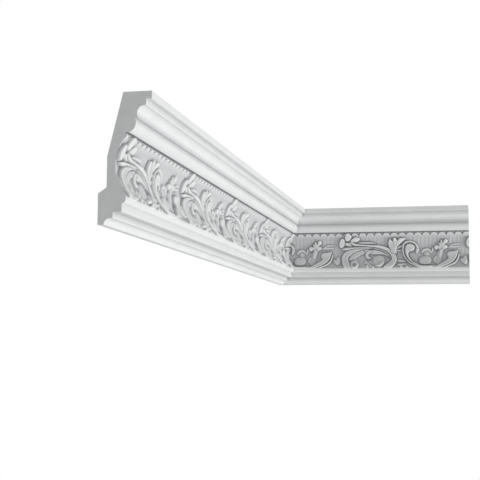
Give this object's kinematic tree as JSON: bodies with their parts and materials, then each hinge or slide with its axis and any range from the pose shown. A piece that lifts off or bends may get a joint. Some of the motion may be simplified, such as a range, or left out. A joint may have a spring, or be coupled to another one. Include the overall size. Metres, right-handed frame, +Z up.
{
  "type": "cornice moulding section",
  "caption": "Cornice moulding turning an inside corner: two mitred lengths with stepped bands, a cove and a hollow frieze of raised scrolls, leaves and tongues.",
  "frame": {"origin": "the corner where the two walls meet, at the height of the moulding's lower edge", "axes": "+Z up to the ceiling, -Y along the long run, +X along the short run; the room is at +X and -Y"},
  "size_m": [0.363, 1.018, 0.142],
  "materials": {
    "primed_foam": "matte"
  },
  "bodies": {
    "root": {"long_run": "primed_foam", "short_run": "primed_foam"}
  },
  "joints": []
}
